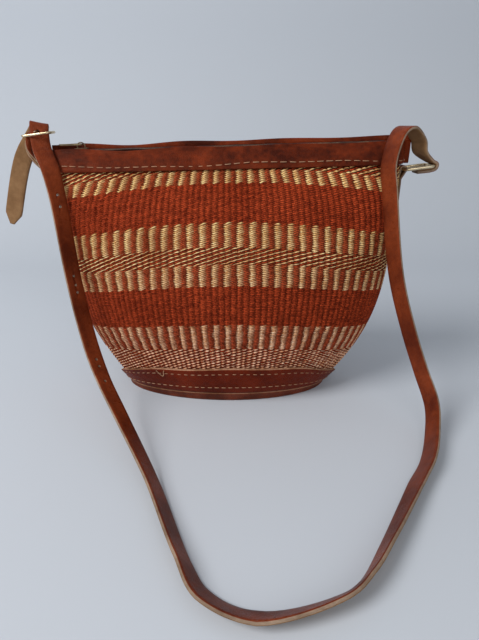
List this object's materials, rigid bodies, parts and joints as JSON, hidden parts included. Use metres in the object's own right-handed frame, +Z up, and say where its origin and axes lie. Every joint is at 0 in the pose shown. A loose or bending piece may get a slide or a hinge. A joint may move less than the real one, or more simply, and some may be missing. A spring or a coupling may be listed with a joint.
{
  "type": "woven crossbody bag",
  "caption": "Twined basket bag with striped weave, zipped mouth between leather trims, oval leather base and one long leather strap on a buckle and a ring.",
  "frame": {"origin": "middle of the sole's resting face", "axes": "+Z up, +X to the bag's right end as seen from the front, -Y towards the front"},
  "size_m": [0.3858, 0.3298, 0.2433],
  "materials": {
    "sisal": "twined sisal yarn, red-brown with cream bars and twill bands",
    "base_leather": "waxed dark red-brown leather with running stitches",
    "trim_leather": "smooth red-brown leather with pale running stitches",
    "strap_leather": "thick chestnut leather, raw tan edges and flesh side",
    "zip_cloth": "dark woven zip tape",
    "zip_metal": "dark antique brass",
    "brass_wire": "worn brass wire"
  },
  "bodies": {
    "bag": {"woven_body": "sisal", "base_sole": "base_leather", "base_cap": "base_leather", "front_trim": "trim_leather", "back_trim": "trim_leather", "zip_tape_front": "zip_cloth", "zip_tape_back": "zip_cloth", "zip_teeth_front": "zip_metal", "zip_teeth_back": "zip_metal", "zip_top_stop_front": "zip_metal", "zip_top_stop_back": "zip_metal", "zip_bottom_stop": "zip_metal", "left_tab": "strap_leather", "right_tab": "strap_leather", "buckle_frame": "brass_wire", "shoulder_strap": "strap_leather"},
    "zip_slider": {"zip_slider": "zip_metal"},
    "zip_pull": {"zip_pull": "zip_metal"},
    "buckle_prong": {"buckle_prong": "brass_wire"},
    "strap_ring": {"strap_ring": "brass_wire"}
  },
  "joints": [
    {"name": "zip_slide", "type": "slide", "parent": "bag", "child": "zip_slider", "axis": [0.9996, 0, 0.0279], "range_m": [0, 0.249]},
    {"name": "pull_swing", "type": "hinge", "parent": "zip_slider", "child": "zip_pull", "pos_m": [-0.12478, 0, 0.22492], "axis": [0, 1, 0], "range_deg": [0, 165]},
    {"name": "prong_rock", "type": "hinge", "parent": "bag", "child": "buckle_prong", "pos_m": [-0.158, 0.003, 0.233], "axis": [-0.9925, 0, -0.1219], "range_deg": [0, 10]},
    {"name": "ring_swing", "type": "hinge", "parent": "bag", "child": "strap_ring", "pos_m": [0.1488, 0, 0.205], "axis": [0, 1, 0], "range_deg": [-25, 25], "deforming": ["shoulder_strap"]}
  ]
}
